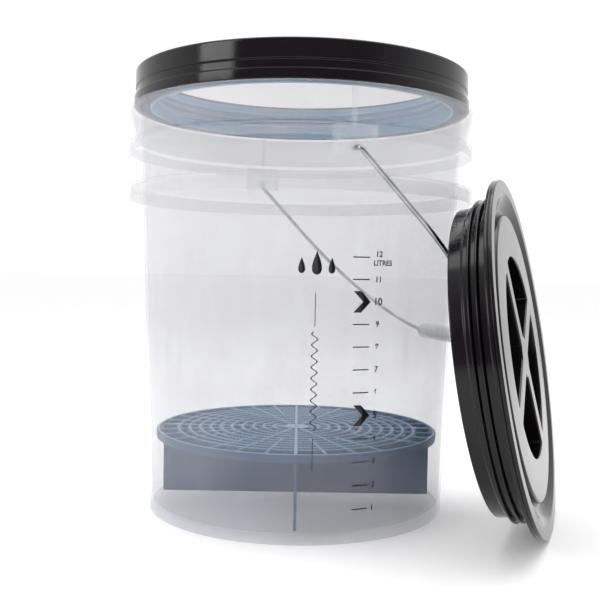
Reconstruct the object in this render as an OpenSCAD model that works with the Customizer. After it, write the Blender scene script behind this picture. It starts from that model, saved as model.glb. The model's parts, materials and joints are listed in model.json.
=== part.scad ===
// Wash bucket: a ribbed pail with a screw-mouth ring, a swinging bail, a lift-out grit
// guard and a screw-in lid that leans beside the pail.
// The origin is on the pail's axis at the foot. +Z is up and -Y is the front.

/* [Pail] */
// Height of the pail's own rim above the foot
pail_h = 366; // [300:1:440]
// Outer radius of the foot
foot_r = 131.8; // [105:0.1:160]
// Height of the straight band round the foot
foot_band_h = 6; // [4:0.5:12]
// Thickness of the foot ring under the floor
foot_t = 3; // [2:0.1:5]
// Growth of the wall's radius for each millimetre of height
draft = 0.034; // [0.02:0.001:0.05]
// Thickness of the wall
wall_t = 2.2; // [1.6:0.1:3.2]
// Height of the floor's underside above the foot
floor_lift = 6; // [3:0.5:10]
// Thickness of the floor
floor_t = 2.4; // [1.8:0.1:4]
// Radius of the hollow corner between floor and wall
floor_corner_r = 4; // [2:0.5:8]
// How far the rim's bead stands out from the wall
bead_out = 1.8; // [1:0.1:2.5]
// Height of the rim's bead
bead_h = 6; // [4:0.5:8]

/* [Stacking ribs and collar] */
// How far the ribs and collar stand out from the wall at the rim
rib_out = 9.4; // [7:0.1:14]
// Thickness of a rib's flat fin and of its turned-down lip
rib_t = 2; // [1.4:0.1:3]
// Depth from the rim to the upper rib's top
rib_a_drop = 43.6; // [38:0.1:60]
// Height of the upper rib's lip
rib_a_h = 9.8; // [6:0.1:14]
// Depth from the rim to the lower rib's top
rib_b_drop = 80.5; // [76:0.1:100]
// Height of the lower rib's lip
rib_b_h = 13.3; // [8:0.1:18]
// Height of the collar under the ring
collar_h = 28.7; // [20:0.1:34]
// How far the collar's lower edge is drawn in
collar_in = 5.5; // [2:0.1:7]

/* [Screw-mouth ring] */
// Height of the ring's outer skirt
ring_h = 31.3; // [26:0.1:40]
// How far the ring stands above the pail's rim
ring_above = 19; // [14:0.1:24]
// Thickness of the ring's skirt and top
ring_t = 2.2; // [1.8:0.1:4]
// How far the ring's lower band stands out
band_out = 1.2; // [0.6:0.1:3]
// Depth of the groove above the lower band
groove_in = 1.2; // [0.4:0.1:1.6]
// Gap between the ring's skirt and the pail's bead
ring_gap = 0.3; // [0.1:0.05:1]
// Gap between the pail's inner wall and the threaded neck
neck_gap = 5.8; // [4:0.1:10]
// Thickness of the threaded neck
neck_t = 2.8; // [2:0.1:5]
// Depth of the threaded neck below the ring's top
neck_h = 31.5; // [26:0.5:60]
// Height of the thread's ridges from root to crest
thread_d = 4.2; // [2.5:0.1:6]
// Distance between two thread ridges
thread_pitch = 6; // [5:0.1:8]
// Width of a ridge at its root
ridge_w = 3.4; // [2.4:0.1:4]
// Number of thread ridges
ridge_n = 3; // [2:1:4]
// Height of the gasket pressed on the pail's rim
gasket_h = 2.5; // [1.5:0.1:4]

/* [Ears and bail] */
// Angle of the front ear, to the right of straight ahead
ear_turn = 16; // [0:1:45]
// Width of an ear
ear_w = 33; // [24:1:44]
// Depth from the rim to the bail's pivot
pivot_drop = 61.6; // [58:0.1:72]
// Height of an ear above and below its pivot
ear_half_h = 6; // [5.5:0.1:12]
// Thickness of an ear's walls
ear_t = 2.2; // [1.6:0.1:3]
// Radius of the boss round the pivot
boss_r = 5; // [4:0.1:7]
// Radius of the bail's wire
wire_r = 2; // [1.5:0.1:2.8]
// Running clearance in the pivots and in the grip
pivot_gap = 0.06; // [0.02:0.01:0.1]
// Gap between the bail's legs and the ribs
leg_gap = 1.5; // [1:0.1:4]
// Radius of the bend from each pivot to its leg
hook_r = 4; // [3.4:0.1:6]
// Length of wire inside each pivot
stub_len = 7; // [5:0.1:8]
// How much further the bail reaches than half its span
bail_extra = 51.3; // [40:0.1:80]
// Distance from the pail's axis to the centre of each big bend
bend_off = 15; // [5:1:30]
// Radius of the small bends beside the grip
small_bend_r = 40; // [20:1:60]
// Length of the grip
grip_len = 84; // [70:1:100]
// Radius of the grip
grip_r = 7.5; // [5:0.1:12]
// Straight wire past each end of the grip
grip_spare = 5; // [3:0.5:10]
// Gap between the hanging grip and the wall
hang_gap = 0.3; // [0.2:0.1:2]

/* [Grit guard] */
// Height of the guard's top above the pail's floor
guard_h = 61.3; // [40:0.1:90]
// Gap between the guard's edge and the ring's mouth
guard_gap = 2.5; // [1:0.1:6]
// Thickness of the grille
grille_t = 3.2; // [2:0.1:5]
// Height of the rim round the grille
guard_rim_h = 7; // [4:0.1:12]
// Width of the rim round the grille
guard_rim_w = 3.5; // [2:0.1:6]
// Width of each round bar
bar_w = 4.6; // [3:0.1:7]
// Distance between round bars
bar_pitch = 9.6; // [8:0.1:14]
// Radius of the solid middle
hub_r = 11; // [8:0.5:16]
// Width of each straight spoke
spoke_w = 3; // [2:0.1:5]
// Thickness of the crossed vanes
vane_t = 2.6; // [1.8:0.1:4]
// Gap between the vanes' ends and the guard's edge
vane_short = 5; // [3:0.5:12]

/* [Lid] */
// How far the flange stays inside the ring's outer edge
flange_in = 2.3; // [1:0.1:4]
// Thickness of the flange
flange_t = 6; // [5:0.1:8]
// Total depth of the lid
lid_depth = 36; // [34:0.5:50]
// Thickness of the lid's wall and deck
lid_t = 2.6; // [2:0.1:3.2]
// Gap between the lid's thread and the ring's
thread_gap = 0.6; // [0.3:0.05:1]
// How far the plain barrel is smaller than the thread's root
barrel_in = 1; // [0.4:0.1:2]
// Length of the plain barrel below the thread
barrel_len = 11; // [8:0.5:16]
// Width of the flat rim on the face
face_rim_w = 11; // [8:0.5:14]
// Width of the dish between rim and plateau
dish_w = 18; // [15:0.5:20]
// Depth of the dish
dish_d = 7.5; // [6.5:0.1:9]
// Depth of the plateau below the rim
plateau_drop = 1.5; // [0.5:0.1:3]
// Radius of the finger wells
well_r = 83; // [60:1:88]
// Depth of the finger wells
well_d = 17; // [10:0.5:24]
// Width of the bars between the wells
well_bar_w = 15; // [10:0.5:24]
// Radius of the hub where the bars cross
well_hub_r = 17; // [12:0.5:26]
// Turn of the crossed bars
well_turn = 28; // [0:1:90]
// Height of the seal under the flange
seal_h = 2.6; // [1.5:0.1:3.5]
// How far the seal stands out from the thread's root
seal_out = 2.8; // [1.5:0.1:4]

/* [Where the lid leans] */
// Compass direction of the lid's face, from +X towards +Y
lid_az = -21; // [-40:1:40]
// Lean of the lid's face above level
lid_lean = 9.1; // [4:0.1:20]
// Distance from the ribs to the face's centre, along its direction
lid_out = 52.7; // [45:0.5:100]
// Sideways shift of the lid
lid_side = -10.3; // [-40:0.1:40]

/* [Hidden] */
$fn = 160;
wire_fn = 32;
sink = 0.6;         // how far one fused shape is sunk into another
wall_sink = 1.1;    // the same where a rib or an ear joins the tapered wall
edge = 1;           // small chamfer on moulded edges
band_share = 0.264; // top of the ring's lower band, as a share of the skirt's height
groove_share = 0.5; // top of the groove above it
collar_gap = 0.7;   // gap between the collar and the ring's lower edge
neck_drop = 8.5;    // depth of the neck's first thread ridge
lid_drop = 5.5;     // the same below the lid's flange
snap_h = 2.6;       // height of the lip that snaps under the bead
ear_gap = 0.6;      // gap between an ear's face and the wire's first bend
bore_spare = 0.4;   // how much deeper the pivot's bore is than the wire in it

// Pail
function wall_r(z) = foot_r + draft * max(0, z - foot_band_h);
function wall_in_r(z) = wall_r(z) - wall_t;
floor_z = floor_lift + floor_t;
rim_r = wall_r(pail_h);
rim_in_r = rim_r - wall_t;
bead_r = rim_r + bead_out;
rib_r = rim_r + rib_out;
rib_a_z = pail_h - rib_a_drop;
rib_b_z = pail_h - rib_b_drop;

// Ring
ring_top = pail_h + ring_above;
ring_z = ring_top - ring_h;
skirt_in_r = bead_r + ring_gap;
ring_r = skirt_in_r + ring_t;
band_z = ring_z + band_share * ring_h;
groove_z = ring_z + groove_share * ring_h;
collar_z = ring_z - collar_gap;
neck_out_r = rim_in_r - neck_gap;
root_r = neck_out_r - neck_t;
mouth_r = root_r - thread_d;
seat_z = pail_h + gasket_h;

// Ears and bail
pivot_z = pail_h - pivot_drop;
leg_u = rib_r + leg_gap + wire_r;
ear_u = leg_u - hook_r - ear_gap;
weld_r = wire_r + 0.05;  // radius of the short swell where two lengths of wire join
stub_u = leg_u - hook_r - stub_len;
bore_r = wire_r + pivot_gap;
big_bend_r = leg_u - bend_off;
grip_half = grip_len / 2 + grip_spare;
bail_reach = leg_u + bail_extra;
bend_turn = acos((grip_half - bend_off) / (big_bend_r - small_bend_r));
leg_len = bail_reach - small_bend_r - (big_bend_r - small_bend_r) * sin(bend_turn);
// The bail hangs until its grip meets the tapered wall.
hang_r = foot_r + draft * (pivot_z - foot_band_h) + grip_r + hang_gap;
bail_drop = atan(draft) + acos(hang_r / (bail_reach * sqrt(1 + draft * draft)));

// Guard
guard_z = floor_z + guard_h;
guard_r = min(mouth_r, wall_in_r(floor_z)) - guard_gap;
vane_h = guard_h - grille_t;
vane_r = guard_r - vane_short;
bar_n = floor((guard_r - guard_rim_w - hub_r) / bar_pitch);

// Lid, along its own axis with the face at zero and the barrel below
flange_r = ring_r - flange_in;
lid_root_r = mouth_r - thread_gap;
barrel_r = lid_root_r - barrel_in;
barrel_in_r = barrel_r - lid_t;
dish_out_r = flange_r - face_rim_w;
plateau_r = dish_out_r - dish_w;
thread_start = flange_t + lid_drop;
well_wall_r = min(well_r, plateau_r - 2 * lid_t);
face_x = rib_r + lid_out;
face_z = flange_t * sin(lid_lean) + flange_r * cos(lid_lean);

// Turns a shape about the pail's axis so that its +X points out through the front ear.
module at_ear(side = 0) {
    rotate([0, 0, ear_turn - 90 + 180 * side]) children();
}

// One ridge of a thread in profile: r is its root, and out is +1 outwards or -1 inwards.
module ridge_profile(r, z, out) {
    tip = ridge_w * 0.45;
    polygon([
        [r - out * sink, z - ridge_w / 2], [r, z - ridge_w / 2],
        [r + out * thread_d, z - tip / 2], [r + out * thread_d, z + tip / 2],
        [r, z + ridge_w / 2], [r - out * sink, z + ridge_w / 2],
    ]);
}

module pail_wall() {
    corner = [for (i = [0 : 6]) let (a = -90 + 15 * i)
        [wall_in_r(floor_z) - floor_corner_r + floor_corner_r * cos(a),
         floor_z + floor_corner_r + floor_corner_r * sin(a)]];
    rotate_extrude()
        polygon(concat(
            [[0, floor_z]],
            corner,
            [[rim_in_r, pail_h], [rim_r, pail_h], [foot_r, foot_band_h], [foot_r, 0],
             [foot_r - foot_t, 0], [foot_r - foot_t, floor_lift], [0, floor_lift]]
        ));
}

module rim_bead() {
    rotate_extrude()
        polygon([
            [rim_r - sink, pail_h - bead_h], [rim_r, pail_h - bead_h],
            [bead_r, pail_h - bead_h + bead_out], [bead_r, pail_h - edge],
            [bead_r - edge, pail_h], [rim_r - sink, pail_h],
        ]);
}

// A flat fin with a turned-down lip. low_r is the radius of the lip's lower edge.
module rib(top_z, lip_h, low_r) {
    root = wall_r(top_z) - wall_sink;
    rotate_extrude()
        polygon([
            [root, top_z - rib_t], [root, top_z],
            [rib_r - edge, top_z], [rib_r, top_z - edge],
            [low_r, top_z - lip_h], [low_r - rib_t, top_z - lip_h],
            [rib_r - rib_t, top_z - rib_t],
        ]);
}

// The box round the pivot: a face, two cheeks and a boss, open below.
module ear_walls() {
    root = wall_r(pivot_z - ear_half_h) - wall_sink;
    low = pivot_z - ear_half_h;
    high = rib_a_z - rib_t / 2;
    translate([ear_u - ear_t, -ear_w / 2, low]) cube([ear_t, ear_w, high - low]);
    for (y = [-ear_w / 2, ear_w / 2 - ear_t])
        translate([root, y, low]) cube([ear_u - root, ear_t, high - low]);
    translate([root, 0, pivot_z]) rotate([0, 90, 0]) cylinder(r = boss_r, h = ear_u - root);
}

module ear() {
    gusset_low = rib_a_z - sink;
    gusset_root = wall_r(gusset_low) - wall_sink;
    gusset_out = rib_r - collar_in - rib_t / 2;
    ear_walls();
    translate([gusset_root, -rib_t * 0.8, gusset_low])
        cube([gusset_out - gusset_root, rib_t * 1.6, collar_z - rib_t / 2 - gusset_low]);
}

module pail_shell() {
    color("whitesmoke") difference() {
        union() {
            pail_wall();
            rim_bead();
            rib(rib_a_z, rib_a_h, rib_r);
            rib(rib_b_z, rib_b_h, rib_r);
            rib(collar_z, collar_h, rib_r - collar_in);
            for (side = [0, 1]) at_ear(side) ear();
        }
        for (side = [0, 1])
            at_ear(side)
                translate([stub_u - bore_spare, 0, pivot_z])
                    rotate([0, 90, 0]) cylinder(r = bore_r, h = leg_u - stub_u);
    }
}

module ring_body() {
    rotate_extrude()
        polygon([
            [root_r, ring_top - neck_h], [neck_out_r, ring_top - neck_h],
            [neck_out_r, ring_top - ring_t], [skirt_in_r, ring_top - ring_t],
            [skirt_in_r, ring_z], [ring_r + band_out - edge / 2, ring_z],
            [ring_r + band_out, ring_z + edge / 2], [ring_r + band_out, band_z - edge / 2],
            [ring_r + band_out - edge / 2, band_z], [ring_r - groove_in, band_z + edge],
            [ring_r - groove_in, groove_z - edge], [ring_r - edge / 2, groove_z],
            [ring_r, groove_z + edge / 2], [ring_r, ring_top - 2 * edge],
            [ring_r - edge * 0.6, ring_top - edge * 0.6], [ring_r - 2 * edge, ring_top],
            [root_r + edge, ring_top], [root_r, ring_top - edge],
        ]);
}

module mouth_ring() {
    lip_z = pail_h - bead_h - ring_gap;
    color("#151515") {
        ring_body();
        rotate_extrude() {
            // threads on the neck
            for (i = [0 : ridge_n - 1])
                ridge_profile(root_r, ring_top - neck_drop - i * thread_pitch, -1);
            // rib that presses on the gasket
            polygon([
                [rim_in_r, seat_z], [rim_r, seat_z],
                [rim_r, ring_top - ring_t + sink], [rim_in_r, ring_top - ring_t + sink],
            ]);
            // lip that snaps under the pail's bead
            polygon([
                [skirt_in_r + sink, lip_z], [skirt_in_r, lip_z],
                [rim_r + ring_gap, lip_z - sink], [skirt_in_r, lip_z - snap_h],
                [skirt_in_r + sink, lip_z - snap_h],
            ]);
        }
    }
}

module ring_gasket() {
    color("dimgray") rotate_extrude()
        translate([rim_in_r, pail_h]) square([wall_t, gasket_h]);
}

// A round bar bent through an angle, from +X towards +Y, in the XY plane.
module bent_wire(bend_r, start, turn) {
    rotate([0, 0, start])
        rotate_extrude(angle = turn)
            translate([bend_r, 0]) circle(r = wire_r, $fn = wire_fn);
}

module straight_wire(len) {
    rotate([-90, 0, 0]) cylinder(r = wire_r, h = len, $fn = wire_fn);
}

// Half of the bail in the XY plane: +X out to the leg, +Y towards the grip.
module half_bail() {
    span = big_bend_r - small_bend_r;
    small = [bend_off + span * cos(bend_turn), leg_len + span * sin(bend_turn)];
    bend_end = [bend_off + big_bend_r * cos(bend_turn), leg_len + big_bend_r * sin(bend_turn)];
    translate([leg_u - hook_r, 0, 0]) rotate([0, 0, 90]) straight_wire(stub_len);
    translate([leg_u - hook_r, hook_r, 0]) bent_wire(hook_r, -90, 90);
    translate([leg_u, hook_r, 0]) straight_wire(leg_len - hook_r);
    translate([bend_off, leg_len, 0]) bent_wire(big_bend_r, 0, bend_turn);
    translate([small[0], small[1], 0]) bent_wire(small_bend_r, bend_turn, 90 - bend_turn);
    for (p = [[leg_u - hook_r, 0], [leg_u, hook_r], [leg_u, leg_len], bend_end, [small[0], bail_reach]])
        translate([p[0], p[1], 0]) sphere(r = weld_r, $fn = wire_fn);
}

// Places a shape drawn in the bail's own plane where the bail hangs.
module at_bail() {
    translate([0, 0, pivot_z]) at_ear() rotate([-bail_drop, 0, 0]) children();
}

module bail_wire() {
    color("silver") at_bail() {
        half_bail();
        mirror([1, 0, 0]) half_bail();
        translate([grip_half, bail_reach, 0]) rotate([0, 0, 90]) straight_wire(2 * grip_half);
    }
}

module bail_grip() {
    waist = 0.8;
    roll_n = 7;
    roll = (grip_len - 8) / roll_n;
    rolls = [for (i = [0 : roll_n]) [grip_r - waist, -grip_len / 2 + 4 + i * roll]];
    crests = [for (i = [0 : roll_n - 1]) [grip_r, -grip_len / 2 + 4 + (i + 0.5) * roll]];
    outline = [for (i = [0 : 2 * roll_n]) i % 2 == 0 ? rolls[i / 2] : crests[(i - 1) / 2]];
    color("white") at_bail()
        translate([0, bail_reach, 0]) rotate([0, 90, 0])
            rotate_extrude($fn = 64)
                polygon(concat(
                    [[bore_r, -grip_len / 2], [grip_r - edge, -grip_len / 2],
                     [grip_r, -grip_len / 2 + edge], [grip_r, -grip_len / 2 + 3]],
                    outline,
                    [[grip_r, grip_len / 2 - 3], [grip_r, grip_len / 2 - edge],
                     [grip_r - edge, grip_len / 2], [bore_r, grip_len / 2]]
                ));
}

module grille_rings() {
    low = guard_z - grille_t;
    translate([0, 0, low]) cylinder(r = hub_r, h = grille_t);
    rotate_extrude() {
        for (i = [1 : bar_n - 1])
            translate([hub_r + i * bar_pitch - bar_w / 2, low]) square([bar_w, grille_t]);
        translate([guard_r - guard_rim_w, guard_z - guard_rim_h])
            square([guard_rim_w, guard_rim_h]);
    }
}

module spokes(count, from_r) {
    for (i = [0 : count - 1])
        rotate([0, 0, 360 * (i + 0.5) / count])
            translate([from_r, -spoke_w / 2, guard_z - grille_t])
                cube([guard_r - guard_rim_w / 2 - from_r, spoke_w, grille_t]);
}

module grit_guard() {
    color("steelblue") {
        grille_rings();
        spokes(8, hub_r - sink);
        spokes(16, hub_r + 5 * bar_pitch);
        for (turn = [0, 90])
            rotate([0, 0, turn])
                translate([-vane_r, -vane_t / 2, floor_z])
                    cube([2 * vane_r, vane_t, guard_h]);
    }
}

// The lid's wall, flange and deck in profile.
module lid_profile() {
    deck = dish_d + lid_t;
    polygon([
        [0, -plateau_drop], [plateau_r - edge, -plateau_drop],
        [plateau_r, -plateau_drop - edge], [plateau_r + 1.5 * edge, -dish_d],
        [plateau_r + dish_w * 0.28, -dish_d], [plateau_r + dish_w * 0.5, -dish_d * 0.72],
        [plateau_r + dish_w * 0.72, -dish_d * 0.36], [dish_out_r, 0],
        [flange_r - edge, 0], [flange_r, -edge],
        [flange_r, -flange_t * 0.4], [flange_r - 0.8, -flange_t * 0.5],
        [flange_r, -flange_t * 0.6], [flange_r, -flange_t + edge],
        [flange_r - edge, -flange_t], [lid_root_r, -flange_t],
        [lid_root_r, -lid_depth + barrel_len], [barrel_r, -lid_depth + barrel_len - edge],
        [barrel_r, -lid_depth + edge], [barrel_r - edge, -lid_depth],
        [barrel_in_r, -lid_depth], [barrel_in_r, -deck],
        [plateau_r - lid_t, -deck], [plateau_r - 2 * lid_t, -plateau_drop - lid_t],
        [0, -plateau_drop - lid_t],
    ]);
}

// Four sectors between crossed bars: grow widens each sector by the wall's thickness.
module well_sectors(grow, top, bottom) {
    bar = well_bar_w / 2 - grow;
    rotate([0, 0, well_turn])
        difference() {
            translate([0, 0, bottom]) cylinder(r = well_wall_r + grow, h = top - bottom);
            translate([0, 0, bottom - 1]) {
                cylinder(r = well_hub_r - grow, h = top - bottom + 2);
                translate([-plateau_r, -bar, 0]) cube([2 * plateau_r, 2 * bar, top - bottom + 2]);
                translate([-bar, -plateau_r, 0]) cube([2 * bar, 2 * plateau_r, top - bottom + 2]);
            }
        }
}

// Places a shape drawn along the lid's own axis where the lid leans.
module at_lid() {
    rotate([0, 0, lid_az])
        translate([face_x, lid_side, face_z])
            rotate([0, 90 - lid_lean, 0]) children();
}

module lid_shell() {
    color("#101010") at_lid() difference() {
        union() {
            rotate_extrude() {
                lid_profile();
                for (i = [0 : ridge_n - 1])
                    ridge_profile(lid_root_r, -thread_start - i * thread_pitch, 1);
            }
            well_sectors(lid_t, -plateau_drop - lid_t / 2, -well_d - lid_t);
        }
        well_sectors(0, 1, -well_d);
    }
}

module lid_seal() {
    color("dimgray") at_lid() rotate_extrude()
        translate([lid_root_r, -flange_t - seal_h]) square([seal_out, seal_h]);
}

pail_shell();
mouth_ring();
ring_gasket();
bail_wire();
bail_grip();
grit_guard();
lid_shell();
lid_seal();
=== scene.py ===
import json
import math

import bmesh
import bpy
from mathutils import Matrix, Vector


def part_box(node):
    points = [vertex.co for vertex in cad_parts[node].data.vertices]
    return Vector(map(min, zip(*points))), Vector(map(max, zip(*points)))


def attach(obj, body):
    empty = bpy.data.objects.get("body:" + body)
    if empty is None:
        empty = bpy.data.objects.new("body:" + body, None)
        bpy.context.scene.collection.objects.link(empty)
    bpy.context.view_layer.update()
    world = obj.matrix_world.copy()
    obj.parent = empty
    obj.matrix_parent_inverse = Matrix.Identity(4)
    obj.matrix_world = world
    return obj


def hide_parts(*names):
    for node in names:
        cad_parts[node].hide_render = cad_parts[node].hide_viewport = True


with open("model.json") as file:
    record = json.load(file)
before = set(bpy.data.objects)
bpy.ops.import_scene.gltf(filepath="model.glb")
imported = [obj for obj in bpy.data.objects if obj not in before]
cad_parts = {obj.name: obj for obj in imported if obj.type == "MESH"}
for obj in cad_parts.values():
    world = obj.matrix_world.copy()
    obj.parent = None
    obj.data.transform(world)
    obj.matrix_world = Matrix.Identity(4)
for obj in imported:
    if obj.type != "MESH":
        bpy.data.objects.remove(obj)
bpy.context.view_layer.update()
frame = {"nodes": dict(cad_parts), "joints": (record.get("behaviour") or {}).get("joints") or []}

TURN = 2 * math.pi
SEGMENTS = 192        # steps round a thread, and round a lathed part by default
FINE_SEGMENTS = 256   # steps round the large lathed parts

# Sizes that part.scad gives the same names: metres and radians, and shares without a unit.
FOOT_R = 0.1318
FOOT_BAND_H = 0.006
FOOT_T = 0.003
DRAFT = 0.034
WALL_T = 0.0022
FLOOR_LIFT = 0.006
FLOOR_Z = 0.0084
FLOOR_CORNER_R = 0.004
BEAD_OUT = 0.0018
BEAD_H = 0.006
RIB_T = 0.002
RIB_A_DROP = 0.0436
RIB_A_H = 0.0098
RIB_B_DROP = 0.0805
RIB_B_H = 0.0133
COLLAR_H = 0.0287
COLLAR_IN = 0.0055
COLLAR_GAP = 0.0007
EAR_W = 0.033
EAR_T = 0.0022
EAR_HALF_H = 0.006
EAR_GAP = 0.0006
BOSS_R = 0.005
RING_H = 0.0313
RING_T = 0.0022
BAND_OUT = 0.0012
BAND_SHARE = 0.264
GROOVE_IN = 0.0012
GROOVE_SHARE = 0.5
NECK_T = 0.0028
NECK_GAP = 0.0058
THREAD_D = 0.0042
THREAD_PITCH = 0.006
RIDGE_W = 0.0034
RING_GAP = 0.0003
GASKET_H = 0.0025
WIRE_R = 0.002
LEG_GAP = 0.0015
HOOK_R = 0.004
STUB_LEN = 0.007
BEND_OFF = 0.015
SMALL_BEND_R = 0.040
GRIP_LEN = 0.084
GRIP_R = 0.0075
GRIP_SPARE = 0.005
PIVOT_GAP = 0.00006
LID_AZ = math.radians(-21)
LID_LEAN = math.radians(9.1)
FLANGE_IN = 0.0023
FLANGE_T = 0.006
LID_T = 0.0026
LID_DEPTH = 0.036
THREAD_GAP = 0.0006
BARREL_IN = 0.001
BARREL_LEN = 0.011
FACE_RIM_W = 0.011
DISH_W = 0.018
DISH_D = 0.0075
PLATEAU_DROP = 0.0015
WELL_R = 0.083
WELL_D = 0.017
WELL_BAR_W = 0.015
WELL_HUB_R = 0.017
WELL_TURN = math.radians(28)
SEAL_H = 0.0026
BAR_W = 0.0046
BAR_PITCH = 0.0096
HUB_R = 0.011
SPOKE_W = 0.003
VANE_T = 0.0026
VANE_SHORT = 0.005
GRILLE_T = 0.0032
GUARD_RIM_W = 0.0035
GUARD_RIM_H = 0.007

# Values that only the visual model has, in metres unless a note says otherwise.
SINK = 0.0004            # how far an ear's plates reach into the wall
NECK_START = 0.0075      # from the ring's top down to the start of its helix
NECK_TURNS = 2.6
LID_START = 0.0045       # the same below the lid's flange
LID_TURNS = 2.45
SEAM_R = 0.095           # edge of the lid's two flat plates that hold the finger wells
STRIPE_H = 0.0007        # height of the fine bead along each bar of the grille
PLASTIC_R = 0.0006       # usual rounding of a thin moulded edge
PRINT_R = 0.1385         # wall radius on which the print was laid out
DEGREE = PRINT_R * math.pi / 180    # length of one degree round that wall
PRINT_LIFT = 0.00005     # how far the ink stands off the wall
PRINT_T = 0.00006
STRIP_W = 0.0012         # width of the flat strips that are bent round the wall
FIRST_STRIP = -10
LAST_STRIP = 80
TICK_LEN = 0.0138
TICK_HALF_H = 0.00045
NUMERAL = 0.0062
BOLD_NUMERAL = 0.0078
LETTER = 0.0058
BOLDNESS = 0.024         # how much a letter is thickened, as a share of its size

# The camera, fitted to the photograph's view: metres, radians and millimetres of lens.
CAMERA_AT = Vector((0.00002, -0.7893, 0.2111))
YAW = 0.0018
PITCH = -0.0325
ROLL = 0.0171
LENS_MM = 51.75
FLOOR_HALF = 40.0        # so wide that its edge lies near the horizon

joints = {j["name"]: j for j in frame["joints"]}
shell_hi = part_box("pail_shell")[1]
ring_lo, ring_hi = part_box("mouth_ring")
guard_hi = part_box("grit_guard")[1]
grip_lo, grip_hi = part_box("bail_grip")
seal_lo, seal_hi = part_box("lid_seal")

PAIL_H = shell_hi.z
RIB_R = shell_hi.x
BAND_R = ring_hi.x
RING_TOP = ring_hi.z
NECK_Z = ring_lo.z
GUARD_R = guard_hi.x
GUARD_Z = guard_hi.z


def wall_r(z):
    """Outer radius of the pail's wall at a height."""
    return FOOT_R + DRAFT * max(0.0, z - FOOT_BAND_H)


FLOOR_R = FOOT_R + DRAFT * (FLOOR_Z - FOOT_BAND_H) - WALL_T
RIM_R = wall_r(PAIL_H)
RIM_IN_R = RIM_R - WALL_T
BEAD_R = RIM_R + BEAD_OUT
RIB_A_Z = PAIL_H - RIB_A_DROP
RIB_B_Z = PAIL_H - RIB_B_DROP
RING_Z = RING_TOP - RING_H
COLLAR_Z = RING_Z - COLLAR_GAP
RING_R = BAND_R - BAND_OUT
GROOVE_R = RING_R - GROOVE_IN
BAND_Z = RING_Z + BAND_SHARE * RING_H
GROOVE_Z = RING_Z + GROOVE_SHARE * RING_H
SKIRT_IN_R = BEAD_R + RING_GAP
NECK_OUT_R = RIM_IN_R - NECK_GAP
ROOT_R = NECK_OUT_R - NECK_T
SEAT_Z = PAIL_H + GASKET_H
MOUTH_R = ROOT_R - THREAD_D
FLANGE_R = RING_R - FLANGE_IN
LID_ROOT_R = MOUTH_R - THREAD_GAP
BARREL_R = LID_ROOT_R - BARREL_IN
BARREL_IN_R = BARREL_R - LID_T
DISH_OUT_R = FLANGE_R - FACE_RIM_W
PLATEAU_R = DISH_OUT_R - DISH_W
PIVOT = Vector(joints["bail_swing"]["pos_m"])
EAR_AXIS = Vector(joints["bail_swing"]["axis"]).normalized()
LEG_U = RIB_R + LEG_GAP + WIRE_R
EAR_U = LEG_U - HOOK_R - EAR_GAP
BORE_R = WIRE_R + PIVOT_GAP
GRIP_MID = (grip_lo + grip_hi) / 2
BAIL_REACH = (GRIP_MID - PIVOT).length
UP = Vector((0.0, 0.0, 1.0))


# ---------------------------------------------------------------- materials

def start_material(name):
    """A new node material with its Principled shader."""
    material = bpy.data.materials.new(name)
    material.use_nodes = True
    tree = material.node_tree
    return material, tree, tree.nodes["Principled BSDF"]


def place(tree, stretch):
    """Object coordinates, scaled along each axis."""
    coordinates = tree.nodes.new("ShaderNodeTexCoord")
    mapping = tree.nodes.new("ShaderNodeMapping")
    mapping.inputs["Scale"].default_value = stretch
    tree.links.new(coordinates.outputs["Object"], mapping.inputs["Vector"])
    return mapping.outputs["Vector"]


def noise(tree, scale, detail=3.0, stretch=(1.0, 1.0, 1.0)):
    """Noise over the object, scale in cells for each metre."""
    texture = tree.nodes.new("ShaderNodeTexNoise")
    texture.inputs["Scale"].default_value = scale
    texture.inputs["Detail"].default_value = detail
    tree.links.new(place(tree, stretch), texture.inputs["Vector"])
    return texture.outputs["Fac"]


def spread(tree, value, low, high, start=0.3, end=0.7):
    """Maps a value from start..end to low..high."""
    node = tree.nodes.new("ShaderNodeMapRange")
    node.inputs["From Min"].default_value = start
    node.inputs["From Max"].default_value = end
    node.inputs["To Min"].default_value = low
    node.inputs["To Max"].default_value = high
    tree.links.new(value, node.inputs["Value"])
    return node.outputs["Result"]


def blend_colours(tree, factor, first, second):
    """first where the factor is 0, second where it is 1. Either can be a socket."""
    node = tree.nodes.new("ShaderNodeMix")
    node.data_type = "RGBA"
    tree.links.new(factor, node.inputs["Factor"])
    for socket, colour in (("A", first), ("B", second)):
        colours = [i for i in node.inputs if i.type == "RGBA"]
        target = [i for i in colours if i.name == socket][0]
        if isinstance(colour, tuple):
            target.default_value = (*colour, 1.0)
        else:
            tree.links.new(colour, target)
    return [o for o in node.outputs if o.type == "RGBA"][0]


def add_bump(tree, shader, height, distance):
    """Fine relief on a shader from a height socket."""
    bump = tree.nodes.new("ShaderNodeBump")
    bump.inputs["Distance"].default_value = distance
    tree.links.new(height, bump.inputs["Height"])
    tree.links.new(bump.outputs["Normal"], shader.inputs["Normal"])


def add_values(tree, first, second, share):
    """first plus a share of second."""
    node = tree.nodes.new("ShaderNodeMath")
    node.operation = "MULTIPLY_ADD"
    node.inputs[1].default_value = share
    tree.links.new(second, node.inputs[0])
    tree.links.new(first, node.inputs[2])
    return node.outputs["Value"]


def height_of(tree):
    """The height above the floor in the object's own frame."""
    coordinates = tree.nodes.new("ShaderNodeTexCoord")
    split = tree.nodes.new("ShaderNodeSeparateXYZ")
    tree.links.new(coordinates.outputs["Object"], split.inputs["Vector"])
    return split.outputs["Z"]


def mottle(tree, shader, value, first, second):
    """A shade that drifts between two colours."""
    shade = blend_colours(tree, spread(tree, value, 0.0, 1.0), first, second)
    tree.links.new(shade, shader.inputs["Base Color"])


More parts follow.
